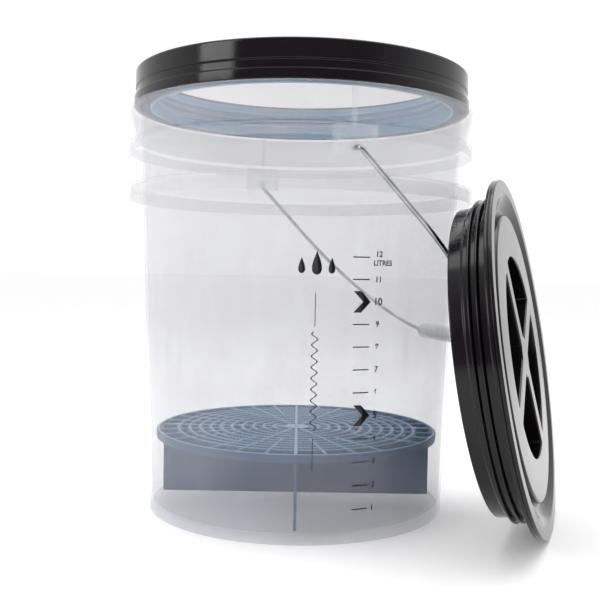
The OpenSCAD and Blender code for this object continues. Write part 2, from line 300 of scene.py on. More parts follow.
def grained(name, cloud, fine, shades, rough, relief):
    """A moulding: cloud is (scale, detail) of its drifting shade, fine the scale of its grain."""
    material, tree, shader = start_material(name)
    drift = noise(tree, *cloud)
    grain = noise(tree, fine)
    mottle(tree, shader, drift, *shades)
    tree.links.new(spread(tree, grain, *rough), shader.inputs["Roughness"])
    add_bump(tree, shader, grain, relief)
    return material, tree, shader, drift


def milky_plastic():
    """Hazy natural polypropylene: mostly see-through, with flow streaks and light scuffs, and
    painted shade that darkens it towards the bottom.
    """
    material, tree, shader = start_material("milky_plastic")
    cloud = noise(tree, 14.0, 4.0)
    streak = noise(tree, 90.0, 3.0, (1.0, 1.0, 0.06))
    scuff = noise(tree, 420.0, 4.0, (1.0, 1.0, 0.35))
    haze = add_values(tree, cloud, streak, 0.45)
    # low holds darker copies of the wall's tones for the bottom and high lighter ones for the
    # top: painted shade.
    low = blend_colours(tree, spread(tree, haze, 0.0, 1.0, 0.55, 0.9),
                        (0.45, 0.47, 0.52), (0.52, 0.52, 0.55))
    high = blend_colours(tree, spread(tree, haze, 0.0, 1.0, 0.55, 0.9),
                         (0.60, 0.61, 0.65), (0.68, 0.67, 0.69))
    # Blends from the darker low tones to the lighter high ones with height, painting shade on the
    # lower wall.
    painted_shade_rise = spread(tree, height_of(tree), 0.0, 1.0, 0.08, 0.24)
    tree.links.new(blend_colours(tree, painted_shade_rise, low, high), shader.inputs["Base Color"])
    tree.links.new(spread(tree, haze, 0.16, 0.22, 0.5, 0.95), shader.inputs["Alpha"])
    tree.links.new(spread(tree, scuff, 0.2, 0.42), shader.inputs["Roughness"])
    add_bump(tree, shader, add_values(tree, scuff, streak, 1.5), 0.00009)
    return material


def clear_plastic():
    """The ears' thin plates, in a paler and clearer copy of the wall's plastic with a cool cast;
    the paler colour is painted light.
    """
    # Far paler than the wall's tones although the ears are the same plastic: painted light.
    shades = ((0.80, 0.88, 0.93), (0.90, 0.94, 0.96))
    material, tree, shader, cloud = grained(
        "clear_plastic", (60.0, 4.0), 500.0, shades, (0.14, 0.3), 0.00006)
    tree.links.new(spread(tree, cloud, 0.11, 0.19), shader.inputs["Alpha"])
    return material


def black_plastic():
    """Glossy black moulding with faint swirl marks."""
    material, tree, shader = start_material("black_plastic")
    cloud = noise(tree, 22.0, 4.0)
    fine = noise(tree, 900.0, 3.0)
    mottle(tree, shader, cloud, (0.0030, 0.0018, 0.0034), (0.0070, 0.0050, 0.0068))
    swirl = add_values(tree, cloud, fine, 0.4)
    tree.links.new(spread(tree, swirl, 0.05, 0.15, 0.45, 0.95), shader.inputs["Roughness"])
    shader.inputs["IOR"].default_value = 1.38
    add_bump(tree, shader, add_values(tree, fine, cloud, 4.0), 0.00004)
    return material


def blue_plastic():
    """Satin blue moulding; the tops of its raised beads are painted paler than the plate between
    them, a painted highlight.
    """
    material, tree, shader = start_material("blue_plastic")
    cloud = noise(tree, 30.0, 5.0)
    fine = noise(tree, 700.0, 4.0)
    body = blend_colours(tree, spread(tree, cloud, 0.0, 1.0),
                         (0.004, 0.060, 0.155), (0.012, 0.095, 0.210))
    # The topmost band of the grille, the bead tops, is painted pale: a painted highlight.
    crest = spread(tree, height_of(tree), 0.0, 1.0, GUARD_Z - STRIPE_H, GUARD_Z - 0.0001)
    bead_top_highlight = blend_colours(tree, crest, body, (0.19, 0.38, 0.56))
    tree.links.new(bead_top_highlight, shader.inputs["Base Color"])
    tree.links.new(spread(tree, fine, 0.34, 0.52), shader.inputs["Roughness"])
    add_bump(tree, shader, fine, 0.00008)
    return material


def neck_plastic():
    """Blue moulding of the threaded neck."""
    shades = ((0.030, 0.215, 0.390), (0.060, 0.290, 0.480))
    return grained("neck_plastic", (26.0, 4.0), 800.0, shades, (0.24, 0.4), 0.00005)[0]


def zinc_wire():
    """Bright drawn steel with dull clouds and fine specks."""
    material, tree, shader = start_material("zinc_wire")
    cloud = noise(tree, 60.0, 5.0)
    fine = noise(tree, 1500.0, 3.0)
    mottle(tree, shader, cloud, (0.32, 0.33, 0.34), (0.50, 0.50, 0.51))
    shader.inputs["Metallic"].default_value = 1.0
    wear = add_values(tree, cloud, fine, 0.5)
    tree.links.new(spread(tree, wear, 0.16, 0.36, 0.5, 1.0), shader.inputs["Roughness"])
    add_bump(tree, shader, fine, 0.00003)
    return material


def grip_plastic():
    """Satin white moulding, a little grey where hands have held it."""
    shades = ((0.72, 0.72, 0.70), (0.84, 0.84, 0.83))
    return grained("grip_plastic", (70.0, 5.0), 1100.0, shades, (0.32, 0.48), 0.00005)[0]


def seal_rubber():
    """Dull dark rubber with a fine grain."""
    shades = ((0.020, 0.020, 0.021), (0.045, 0.044, 0.044))
    return grained("seal_rubber", (80.0, 4.0), 2200.0, shades, (0.62, 0.85), 0.00008)[0]


def print_ink():
    """Black screen print, slightly uneven."""
    material, tree, shader = start_material("print_ink")
    cloud = noise(tree, 500.0, 5.0)
    mottle(tree, shader, cloud, (0.006, 0.007, 0.009), (0.020, 0.021, 0.025))
    tree.links.new(spread(tree, cloud, 0.35, 0.6), shader.inputs["Roughness"])
    add_bump(tree, shader, cloud, 0.00002)
    return material


def floor_paint():
    """Plain pale floor, glowing a little so that it reads as the white backdrop."""
    material, tree, shader = start_material("floor_paint")
    cloud = noise(tree, 3.0, 3.0)
    mottle(tree, shader, cloud, (0.93, 0.93, 0.93), (0.95, 0.95, 0.95))
    shader.inputs["Roughness"].default_value = 0.6
    shader.inputs["Specular IOR Level"].default_value = 0.1
    shader.inputs["Emission Color"].default_value = (1.0, 1.0, 1.0, 1.0)
    shader.inputs["Emission Strength"].default_value = 0.16
    return material


# ---------------------------------------------------------------- mesh tools

def add_piece(name, mesh, body, material, nodes=()):
    """A finished mesh as a smooth piece on a body."""
    piece = bpy.data.objects.new(name, mesh)
    bpy.context.collection.objects.link(piece)
    mesh.materials.append(material)
    for face in mesh.polygons:
        face.use_smooth = True
    normals = piece.modifiers.new("even_normals", "WEIGHTED_NORMAL")
    normals.weight = 100
    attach(piece, body)
    if nodes:
        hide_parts(*nodes)
    return piece


def to_mesh(bm, name, matrix=None):
    """A bmesh as clean mesh data with outward normals."""
    bmesh.ops.remove_doubles(bm, verts=bm.verts, dist=1e-6)
    bmesh.ops.recalc_face_normals(bm, faces=bm.faces)
    mesh = bpy.data.meshes.new(name)
    bm.to_mesh(mesh)
    bm.free()
    if matrix is not None:
        mesh.transform(matrix)
    return mesh


def fillet(points, steps=3):
    """Rounds the corners of an outline of (x, y, radius) points."""
    rounded = []
    count = len(points)
    for i, (x, y, radius) in enumerate(points):
        corner = Vector((x, y))
        before = Vector(points[i - 1][:2]) - corner
        after = Vector(points[(i + 1) % count][:2]) - corner
        reach = min(radius, 0.45 * before.length, 0.45 * after.length)
        if reach <= 1e-6:
            rounded.append((x, y))
            continue
        a = corner + before.normalized() * reach
        b = corner + after.normalized() * reach
        for k in range(steps + 1):
            t = k / steps
            p = a * (1 - t) ** 2 + corner * 2 * t * (1 - t) + b * t ** 2
            rounded.append((p.x, p.y))
    return rounded


def lathe(bm, outline, closed=True, segments=SEGMENTS):
    """Turns an outline of (radius, height) points about Z."""
    rings = []
    for r, z in outline:
        if r < 1e-7:
            rings.append([bm.verts.new((0.0, 0.0, z))])
            continue
        ring = []
        for k in range(segments):
            a = TURN * k / segments
            ring.append(bm.verts.new((r * math.cos(a), r * math.sin(a), z)))
        rings.append(ring)
    pairs = list(zip(rings, rings[1:]))
    if closed:
        pairs.append((rings[-1], rings[0]))
    for low, high in pairs:
        bridge(bm, low, high)
    return rings


def bridge(bm, low, high):
    """Faces between two loops of vertices. Either may be a single point."""
    count = max(len(low), len(high))
    for k in range(count):
        n = (k + 1) % count
        corners = [low[k % len(low)], low[n % len(low)],
                   high[n % len(high)], high[k % len(high)]]
        corners = list(dict.fromkeys(corners))
        if len(corners) >= 3:
            bm.faces.new(corners)


def skin(bm, loops):
    """A closed skin over a row of loops, capped at both ends."""
    for low, high in zip(loops, loops[1:]):
        bridge(bm, low, high)
    bm.faces.new(loops[0])
    bm.faces.new(list(reversed(loops[-1])))


def sweep(bm, frames, section):
    """A closed section of (x, y) carried along frames of (origin, x axis, y axis), capped."""
    loops = []
    for origin, x_axis, y_axis in frames:
        loops.append([bm.verts.new(origin + x_axis * x + y_axis * y) for x, y in section])
    skin(bm, loops)


def slab(bm, size, matrix, round_r):
    """A box with rounded edges: its section is in X and Z, and it runs along Y."""
    x = size[0] / 2
    z = size[2] / 2
    half = size[1] / 2
    end_share = 1 - round_r / x * 0.6
    outline = fillet([(-x, -z, round_r), (x, -z, round_r), (x, z, round_r), (-x, z, round_r)])
    ends = [(-half, end_share), (-half + round_r, 1.0), (half - round_r, 1.0), (half, end_share)]
    loops = []
    for y, share in ends:
        narrow = [(px * share, pz * (1 - (1 - share) * x / z)) for px, pz in outline]
        loops.append([bm.verts.new(matrix @ Vector((px, y, pz))) for px, pz in narrow])
    skin(bm, loops)


def ridge_outline(radius, z, out):
    """One thread ridge in profile, out is +1 outwards or -1 inwards."""
    tip = RIDGE_W * 0.45
    foot = radius - out * PLASTIC_R
    crest = radius + out * THREAD_D
    return [(foot, z - RIDGE_W / 2), (radius, z - RIDGE_W / 2),
            (crest, z - tip / 2), (crest, z + tip / 2),
            (radius, z + RIDGE_W / 2), (foot, z + RIDGE_W / 2)]


def thread(bm, radius, top, out, turns):
    """A helical ridge that starts at height top, runs down, and tapers at both ends."""
    steps = int(turns * SEGMENTS)
    taper = SEGMENTS / 10
    profile = fillet([(r, z, 0.0005) for r, z in ridge_outline(radius, 0.0, out)], 2)
    loops = []
    for k in range(steps + 1):
        a = TURN * k / SEGMENTS
        full = min(1.0, (k + 1) / taper, (steps - k + 1) / taper)
        z = top - THREAD_PITCH * k / SEGMENTS
        loop = []
        for r, dz in profile:
            depth = (r - radius) * full if (r - radius) * out > 0 else r - radius
            reach = radius + depth
            loop.append(bm.verts.new((reach * math.cos(a), reach * math.sin(a), z + dz)))
        loops.append(loop)
    skin(bm, loops)


# ---------------------------------------------------------------- the pail

def rib_points(top_z, lip_h, low_r):
    """A stacking rib as part of the wall's outline, going down."""
    low_z = top_z - lip_h
    under_z = top_z - RIB_T
    return [(wall_r(top_z), top_z, 0.0012), (RIB_R - 0.0002, top_z, 0.0014),
            (low_r, low_z, 0.0008), (low_r - RIB_T, low_z, 0.0008),
            (RIB_R - RIB_T, under_z, 0.001), (wall_r(under_z), under_z, 0.0012)]


def pail_outline():
    """The whole wall, floor, ribs and collar as one outline."""
    bead_low = PAIL_H - BEAD_H
    foot_in_r = FOOT_R - FOOT_T
    points = [(0.0, FLOOR_Z, 0.0), (FLOOR_R, FLOOR_Z, FLOOR_CORNER_R),
              (RIM_IN_R, PAIL_H, 0.0008), (BEAD_R, PAIL_H, 0.001),
              (BEAD_R, bead_low + BEAD_OUT, PLASTIC_R), (wall_r(bead_low), bead_low, PLASTIC_R)]
    points += rib_points(COLLAR_Z, COLLAR_H, RIB_R - COLLAR_IN)
    points += rib_points(RIB_A_Z, RIB_A_H, RIB_R)
    points += rib_points(RIB_B_Z, RIB_B_H, RIB_R)
    points += [(FOOT_R, FOOT_BAND_H, 0.003), (FOOT_R, 0.0, 0.0014), (foot_in_r, 0.0, 0.0012),
               (foot_in_r, FLOOR_LIFT, 0.0015), (0.0, FLOOR_LIFT, 0.0)]
    return fillet(points, 4)


def ear_matrix(side):
    """Carries +X out through the front ear, or the back one."""
    turn = math.atan2(EAR_AXIS.y, EAR_AXIS.x) + math.pi * side
    return Matrix.Rotation(turn, 4, "Z")


def ear_plate(bm, matrix, middle, size):
    """One plate of an ear, its rounded section across X and Z."""
    slab(bm, size, matrix @ Matrix.Translation(middle), 0.0005)


def ear_boss(bm, matrix, root):
    """The bored boss that carries the wire's end, from the wall to the outer plate."""
    boss = bmesh.new()
    outline = [(BORE_R, root - PIVOT.x, 0.0003), (BOSS_R, root, 0.0004),
               (BOSS_R, EAR_U - EAR_T, 0.0003), (BORE_R, EAR_U - EAR_T, 0.0003)]
    lathe(boss, fillet(outline), segments=48)
    pivot = Matrix.Translation((0.0, 0.0, PIVOT.z))
    turn = matrix @ pivot @ Matrix.Rotation(math.pi / 2, 4, "Y")
    bmesh.ops.transform(boss, matrix=turn, verts=boss.verts)
    part = bpy.data.meshes.new("boss")
    boss.to_mesh(part)
    boss.free()
    bm.from_mesh(part)
    bpy.data.meshes.remove(part)


def ear(bm, side):
    """A box round the pivot, open below, with a gusset above it."""
    matrix = ear_matrix(side)
    low = PIVOT.z - EAR_HALF_H
    high = RIB_A_Z - RIB_T / 2
    middle = (low + high) / 2
    root = wall_r(low) - SINK
    deep = EAR_U - root
    tall = high - low
    ear_plate(bm, matrix, (EAR_U - EAR_T / 2, 0.0, middle), (EAR_T, EAR_W, tall))
    for y in (-(EAR_W - EAR_T) / 2, (EAR_W - EAR_T) / 2):
        ear_plate(bm, matrix, (root + deep / 2 - EAR_T / 2, y, middle),
                  (deep - EAR_T, EAR_T, tall))
    gusset_root = wall_r(RIB_A_Z) - SINK
    gusset_out = RIB_R - COLLAR_IN - RIB_T / 2
    gusset_top = COLLAR_Z - RIB_T / 2
    ear_plate(bm, matrix, ((gusset_root + gusset_out) / 2, 0.0, (RIB_A_Z + gusset_top) / 2),
              (gusset_out - gusset_root, RIB_T * 1.6, gusset_top - RIB_A_Z))
    ear_boss(bm, matrix, root)


def build_pail(material, ear_material):
    """The turned wall, and the two ears as a clearer piece on it."""
    bm = bmesh.new()
    lathe(bm, pail_outline(), segments=FINE_SEGMENTS)
    add_piece("pail_body", to_mesh(bm, "pail_body"), "pail", material,
              ["pail_shell"])
    bm = bmesh.new()
    for side in (0, 1):
        ear(bm, side)
    add_piece("pail_ears", to_mesh(bm, "pail_ears"), "pail", ear_material,
              ["pail_shell"])


# ---------------------------------------------------------------- the ring

def skirt_outline():
    """The ring's top and its stepped skirt, in profile."""
    under = RING_TOP - RING_T
    return fillet([
        (ROOT_R, under, 0.0005), (RIM_IN_R, under, 0.0005),
        (RIM_IN_R, SEAT_Z, 0.0003), (RIM_R, SEAT_Z, 0.0003),
        (RIM_R, under, 0.0005), (SKIRT_IN_R, under, 0.001),
        (SKIRT_IN_R, RING_Z, 0.0005), (BAND_R, RING_Z, 0.0009),
        (BAND_R, BAND_Z, 0.001), (GROOVE_R, BAND_Z + 0.0006, 0.0007),
        (GROOVE_R, GROOVE_Z - 0.0006, 0.0007), (RING_R, GROOVE_Z, 0.0009),
        (RING_R, RING_TOP, 0.0026), (ROOT_R, RING_TOP, 0.0014),
    ], 4)


def build_ring(material, neck_material):
    """The screw-mouth ring: a black skirt and top, and a threaded neck inside the rim.

    The neck looks blue but keeps the whole ring's slot, which is the black one.
    """
    bm = bmesh.new()
    lathe(bm, skirt_outline(), segments=FINE_SEGMENTS)
    add_piece("ring_skirt", to_mesh(bm, "ring_skirt"), "pail", material,
              ["mouth_ring"])
    bm = bmesh.new()
    neck_top = RING_TOP - RING_T + 0.0002
    neck = [(ROOT_R, NECK_Z, 0.0008), (NECK_OUT_R, NECK_Z, 0.0008),
            (NECK_OUT_R, neck_top, 0.0), (ROOT_R, neck_top, 0.0)]
    lathe(bm, fillet(neck, 4), segments=FINE_SEGMENTS)
    thread(bm, ROOT_R, RING_TOP - NECK_START, -1, NECK_TURNS)
    add_piece("ring_neck", to_mesh(bm, "ring_neck"), "pail", neck_material,
              ["mouth_ring"])


# ---------------------------------------------------------------- the bail

def bail_matrix():
    """The bail's own plane: +X out along the pivot, +Y towards the grip."""
    y_axis = (GRIP_MID - PIVOT).normalized()
    z_axis = EAR_AXIS.cross(y_axis)
    matrix = Matrix((EAR_AXIS, y_axis, z_axis)).transposed().to_4x4()
    matrix.translation = PIVOT
    return matrix


def arc(centre, radius, start, turn, steps):
    """Points of an arc in the bail's plane, angles in radians."""
    return [(centre[0] + radius * math.cos(start + turn * k / steps),
             centre[1] + radius * math.sin(start + turn * k / steps)) for k in range(steps + 1)]


def half_bail_line():
    """The wire's centre line from one pivot to the middle of the grip."""
    big_r = LEG_U - BEND_OFF
    span = big_r - SMALL_BEND_R
    turn = math.acos((GRIP_LEN / 2 + GRIP_SPARE - BEND_OFF) / span)
    leg = BAIL_REACH - SMALL_BEND_R - span * math.sin(turn)
    small = (BEND_OFF + span * math.cos(turn), leg + span * math.sin(turn))
    line = [(LEG_U - HOOK_R - STUB_LEN, 0.0)]
    line += arc((LEG_U - HOOK_R, HOOK_R), HOOK_R, -math.pi / 2, math.pi / 2, 10)
    line += arc((BEND_OFF, leg), big_r, 0.0, turn, 36)
    line += arc(small, SMALL_BEND_R, turn, math.pi / 2 - turn, 14)[1:]
    return line


def build_bail(material):
    """One drawn wire, bent in at both ends."""
    right = half_bail_line()
    line = right + [(-x, y) for x, y in reversed(right)]
    sides = 24
    section = []
    for k in range(sides):
        a = TURN * k / sides
        section.append((WIRE_R * math.cos(a), WIRE_R * math.sin(a)))
    frames = []
    for i, (x, y) in enumerate(line):
        before = Vector(line[max(0, i - 1)])
        after = Vector(line[min(len(line) - 1, i + 1)])
        along = (after - before).normalized()
        frames.append((Vector((x, y, 0.0)), Vector((along.y, -along.x, 0.0)), UP))
    bm = bmesh.new()
    sweep(bm, frames, section)
    add_piece("bail_rod", to_mesh(bm, "bail_rod", bail_matrix()), "bail", material,
              ["bail_wire"])


def grip_outline():
    """The grip's wall in profile, with shallow rolls for the fingers."""
    half = GRIP_LEN / 2
    end = [(BORE_R, half, 0.0004), (GRIP_R - 0.0004, half, 0.001),
           (GRIP_R, half - 0.0015, PLASTIC_R)]
    rolls = 7
    steps = 98
    margin = 0.003
    points = [(r, -z, round_r) for r, z, round_r in end]
    for k in range(1, steps):
        z = -half + margin + (GRIP_LEN - 2 * margin) * k / steps
        wave = 0.5 - 0.5 * math.cos(TURN * rolls * k / steps)
        points.append((GRIP_R - 0.0008 * (1 - wave), z, 0.0))
    return fillet(points + end[::-1])


def build_grip(material):
    """A slim tube that turns on the wire."""
    bm = bmesh.new()
    lathe(bm, grip_outline(), segments=64)
    out = Matrix.Translation((0.0, BAIL_REACH, 0.0))
    matrix = bail_matrix() @ out @ Matrix.Rotation(math.pi / 2, 4, "Y")
    add_piece("grip_tube", to_mesh(bm, "grip_tube", matrix), "grip", material,
              ["bail_grip"])


# ---------------------------------------------------------------- the guard

def bar_outline(inner, outer, low):
    """A round bar's section: a flat top just under the guard's height, with a fine bead on it."""
    top = GUARD_Z - STRIPE_H
    middle = (inner + outer) / 2
    return fillet([(inner, low, PLASTIC_R), (outer, low, PLASTIC_R), (outer, top, PLASTIC_R),
                   (middle + 0.0008, top, 0.0002), (middle + 0.0005, GUARD_Z, 0.0003),
                   (middle - 0.0005, GUARD_Z, 0.0003), (middle - 0.0008, top, 0.0002),
                   (inner, top, PLASTIC_R)], 2)


def spoke_section():
    """A straight spoke's section below the guard's top, with the same bead."""
    half = SPOKE_W / 2
    low = -GRILLE_T
    top = -STRIPE_H
    return fillet([(-half, low, PLASTIC_R), (half, low, PLASTIC_R), (half, top, PLASTIC_R),
                   (0.0007, top, 0.0002), (0.0004, 0.0, 0.0002), (-0.0004, 0.0, 0.0002),
                   (-0.0007, top, 0.0002), (-half, top, PLASTIC_R)], 2)


def spokes(bm, count, start):
    """Straight spokes from a radius out to the rim."""
    for i in range(count):
        a = TURN * (i + 0.5) / count
        along = Vector((math.cos(a), math.sin(a), 0.0))
        across = Vector((-math.sin(a), math.cos(a), 0.0))
        ends = [along * start, along * (GUARD_R - GUARD_RIM_W / 2)]
        sweep(bm, [(end + UP * GUARD_Z, across, UP) for end in ends], spoke_section())


def build_guard(material):
    """A grille of round bars and spokes on two crossed vanes."""
    bm = bmesh.new()
    low = GUARD_Z - GRILLE_T
    hub = [(0.0, low, 0.0), (HUB_R, low, PLASTIC_R), (HUB_R, GUARD_Z, 0.0008),
           (0.0, GUARD_Z, 0.0)]
    lathe(bm, fillet(hub, 2), segments=96)
    count = int((GUARD_R - GUARD_RIM_W - HUB_R) / BAR_PITCH)
    for i in range(1, count):
        middle = HUB_R + i * BAR_PITCH
        lathe(bm, bar_outline(middle - BAR_W / 2, middle + BAR_W / 2, low), segments=160)
    lathe(bm, bar_outline(GUARD_R - GUARD_RIM_W, GUARD_R, GUARD_Z - GUARD_RIM_H))
    spokes(bm, 8, HUB_R - PLASTIC_R)
    spokes(bm, 16, HUB_R + 5 * BAR_PITCH)
    vane = 2 * (GUARD_R - VANE_SHORT)
    lift = Matrix.Translation((0.0, 0.0, (GUARD_Z + FLOOR_Z) / 2))
    for turn in (0.0, math.pi / 2):
        matrix = Matrix.Rotation(turn, 4, "Z") @ lift
        slab(bm, (VANE_T, vane, GUARD_Z - FLOOR_Z), matrix, 0.0008)
    add_piece("guard_grille", to_mesh(bm, "guard_grille"), "guard", material,
              ["grit_guard"])


# ---------------------------------------------------------------- the lid

def lid_matrix():
    """The lid's own frame: +Z out of its face, at the middle of the face."""
    level = math.cos(LID_LEAN)
    out = Vector((level * math.cos(LID_AZ), level * math.sin(LID_AZ), math.sin(LID_LEAN)))
    face = (seal_lo + seal_hi) / 2 + out * (FLANGE_T + SEAL_H / 2)
    return (Matrix.Translation(face) @ Matrix.Rotation(LID_AZ, 4, "Z")
            @ Matrix.Rotation(math.pi / 2 - LID_LEAN, 4, "Y"))


def cut_corners(points):
    """Rounds a closed outline by cutting each corner twice."""
    for _ in range(2):
        cut = []
        for i, p in enumerate(points):
            q = points[(i + 1) % len(points)]
            cut.append((p[0] * 0.75 + q[0] * 0.25, p[1] * 0.75 + q[1] * 0.25))
            cut.append((p[0] * 0.25 + q[0] * 0.75, p[1] * 0.25 + q[1] * 0.75))
        points = cut
    return points


def sector(quarter, inset):
    """A finger well's outline between the crossed bars, drawn in by inset."""
    bar = WELL_BAR_W / 2 + inset
    near = WELL_HUB_R + inset
    far = WELL_R - inset
    near_a = math.asin(bar / near)
    far_a = math.asin(bar / far)
    points = []
    for k in range(9):
        a = math.pi / 2 - near_a + (2 * near_a - math.pi / 2) * k / 8
        points.append((near * math.cos(a), near * math.sin(a)))
    for k in range(1, 8):
        t = k / 8
        x = near * math.cos(near_a) * (1 - t) + far * math.cos(far_a) * t
        points.append((x, bar))
    for k in range(17):
        a = far_a + (math.pi / 2 - 2 * far_a) * k / 16
        points.append((far * math.cos(a), far * math.sin(a)))
    for k in range(1, 8):
        t = k / 8
        y = far * math.cos(far_a) * (1 - t) + near * math.cos(near_a) * t
        points.append((bar, y))
    turn = WELL_TURN + quarter * math.pi / 2
    c = math.cos(turn)
    s = math.sin(turn)
    return cut_corners([(c * x - s * y, s * x + c * y) for x, y in points])


def well_plate(bm, ring, z, steps):
    """A flat plate inside a ring of vertices, with four finger wells.

    The wells' walls follow (inset, depth) steps.
    """
    sides = zip(ring, ring[1:] + ring[:1])
    edges = [bm.edges.get((a, b)) or bm.edges.new((a, b)) for a, b in sides]
    for quarter in range(4):
        first = None
        for inset, depth in steps:
            loop = [bm.verts.new((x, y, z - depth)) for x, y in sector(quarter, inset)]
            if first is None:
                edges += [bm.edges.new((a, b)) for a, b in zip(loop, loop[1:] + loop[:1])]
            else:
                bridge(bm, first, loop)
            first = loop
        bm.faces.new(first)
    bmesh.ops.triangle_fill(bm, use_beauty=True, edges=edges)


def lid_outline():
    """Flange, dished face and barrel in profile, from the plate's top round to its underside."""
    deck = DISH_D + LID_T
    shelf = -PLATEAU_DROP - LID_T
    barrel_z = BARREL_LEN - LID_DEPTH
    return fillet([
        (SEAM_R, -PLATEAU_DROP, 0.0), (PLATEAU_R, -PLATEAU_DROP, 0.0016),
        (PLATEAU_R + 0.0015, -DISH_D, 0.0016), (PLATEAU_R + 0.28 * DISH_W, -DISH_D, 0.002),
        (PLATEAU_R + 0.5 * DISH_W, -0.72 * DISH_D, 0.002),
        (PLATEAU_R + 0.72 * DISH_W, -0.36 * DISH_D, 0.002),
        (DISH_OUT_R, 0.0, 0.0015), (FLANGE_R, 0.0, 0.0014),
        (FLANGE_R, -0.4 * FLANGE_T, 0.0004), (FLANGE_R - 0.0008, -0.5 * FLANGE_T, 0.0003),
        (FLANGE_R, -0.6 * FLANGE_T, 0.0004), (FLANGE_R, -FLANGE_T, 0.0012),
        (LID_ROOT_R, -FLANGE_T, 0.0008), (LID_ROOT_R, barrel_z, PLASTIC_R),
        (BARREL_R, barrel_z - 0.001, PLASTIC_R), (BARREL_R, -LID_DEPTH, 0.0011),
        (BARREL_IN_R, -LID_DEPTH, 0.0008), (BARREL_IN_R, -deck, 0.0012),
        (PLATEAU_R - LID_T, -deck, 0.001), (PLATEAU_R - 2 * LID_T, shelf, 0.001),
        (SEAM_R, shelf, 0.0),
    ], 4)


def build_lid(material):
    """The screw-in lid: ribbed flange, dished face with four finger wells, threaded barrel."""
    bm = bmesh.new()
    loops = lathe(bm, lid_outline(), closed=False, segments=FINE_SEGMENTS)
    top = [(-0.0010, 0.0), (-0.0005, 0.00015), (-0.0001, 0.0006), (0.0, 0.0014),
           (0.0006, WELL_D - 0.0045), (0.0012, WELL_D - 0.0027),
           (0.0026, WELL_D - 0.0017), (0.0045, WELL_D - 0.0015)]
    under = [(-0.0026, 0.0), (-0.0024, 0.0010), (-0.0018, WELL_D - 0.004),
             (0.0002, WELL_D - 0.0016), (0.0025, WELL_D - 0.0015)]
    well_plate(bm, loops[0], -PLATEAU_DROP, top)
    well_plate(bm, loops[-1], -PLATEAU_DROP - LID_T, under)
    thread(bm, LID_ROOT_R, -FLANGE_T - LID_START, 1, LID_TURNS)
    add_piece("lid_black", to_mesh(bm, "lid_black", lid_matrix()), "lid", material,
              ["lid_shell"])


# ---------------------------------------------------------------- the print

def litre_height(litres):
    """Height at which the tapered inside holds that much above the floor."""
    volume = litres * 0.001
    inside_r = (3 * DRAFT * volume / math.pi + FLOOR_R ** 3) ** (1 / 3)
    return FLOOR_Z + (inside_r - FLOOR_R) / DRAFT


def add_shape(bm, points):
    """A flat shape of (across, up) points in metres."""
    bm.faces.new([bm.verts.new((x, y, 0.0)) for x, y in points])


def add_text(bm, body, size, x, y):
    """Generic lettering in the built-in face."""
    curve = bpy.data.curves.new("mark", "FONT")
    curve.body = body
    curve.size = size
    curve.offset = size * BOLDNESS
    curve.align_x = "CENTER"
    curve.align_y = "CENTER"
    holder = bpy.data.objects.new("mark", curve)
    bpy.context.collection.objects.link(holder)
    bpy.context.view_layer.update()
    mesh = bpy.data.meshes.new_from_object(holder)
    mesh.transform(Matrix.Translation((x, y, 0.0)))
    bm.from_mesh(mesh)
    bpy.data.objects.remove(holder)
    bpy.data.curves.remove(curve)
    bpy.data.meshes.remove(mesh)


def chevron(bm, x, y, wide, tall):
    """A plain chevron that points right."""
    arm = wide * 0.45
    add_shape(bm, [(x, y + tall / 2), (x + arm, y + tall / 2), (x + wide, y),
                   (x + arm, y - tall / 2), (x, y - tall / 2), (x + wide - arm, y)])


def drop(bm, x, y, tall):
    """A plain water drop."""
    points = []
    for k in range(36):
        a = TURN * k / 36
        points.append((x + 0.30 * tall * math.sin(a) * math.sin(a / 2) ** 1.6,
                       y + 0.5 * tall * math.cos(a)))
    add_shape(bm, points)


def ripple(bm, x, low, high, sway, period, thick):
    """A thin wavy line that runs upwards."""
    steps = int((high - low) / period * 14)
    left = []
    right = []
    for k in range(steps + 1):
        y = low + (high - low) * k / steps
        middle = x + sway * math.sin(TURN * (y - low) / period)
        left.append((middle - thick / 2, y))
        right.append((middle + thick / 2, y))
    for k in range(steps):
        add_shape(bm, [left[k], right[k], right[k + 1], left[k + 1]])


def wrap(bm):
    """Cuts flat shapes into narrow strips and bends them round the wall."""
    for k in range(FIRST_STRIP, LAST_STRIP):
        geometry = bm.verts[:] + bm.edges[:] + bm.faces[:]
        bmesh.ops.bisect_plane(bm, geom=geometry, plane_co=(k * STRIP_W, 0, 0),
                               plane_no=(1, 0, 0))
    for v in bm.verts:
        r = wall_r(v.co.y) + PRINT_LIFT
        a = v.co.x / PRINT_R
        v.co = Vector((r * math.sin(a), -r * math.cos(a), v.co.y))


def tick(bm, start, z):
    """A short level rule of the scale."""
    end = start + TICK_LEN
    add_shape(bm, [(start, z - TICK_HALF_H), (end, z - TICK_HALF_H),
                   (end, z + TICK_HALF_H), (start, z + TICK_HALF_H)])


def build_scale(bm):
    """Ticks and numerals from 1 to 12 litres, with a chevron at 5 and 10."""
    for litres in range(2, 13):
        z = litre_height(litres)
        drift = (12 - litres) * 0.25 * DEGREE
        start = 17.2 * DEGREE + drift * 0.8
        bold = litres in (5, 10)
        if bold:
            chevron(bm, start + 0.0004, z, 0.0145, 0.0165)
        else:
            tick(bm, start, z)
        add_text(bm, str(litres), BOLD_NUMERAL if bold else NUMERAL,
                 26.3 * DEGREE + drift * 0.3, z + (0.0024 if litres == 12 else 0.0))
    add_text(bm, "LITRES", LETTER, 27.8 * DEGREE, litre_height(12) - 0.0044)
    low = litre_height(1)
    tick(bm, 19.4 * DEGREE, low)
    add_text(bm, "1", NUMERAL, 27.0 * DEGREE, low)


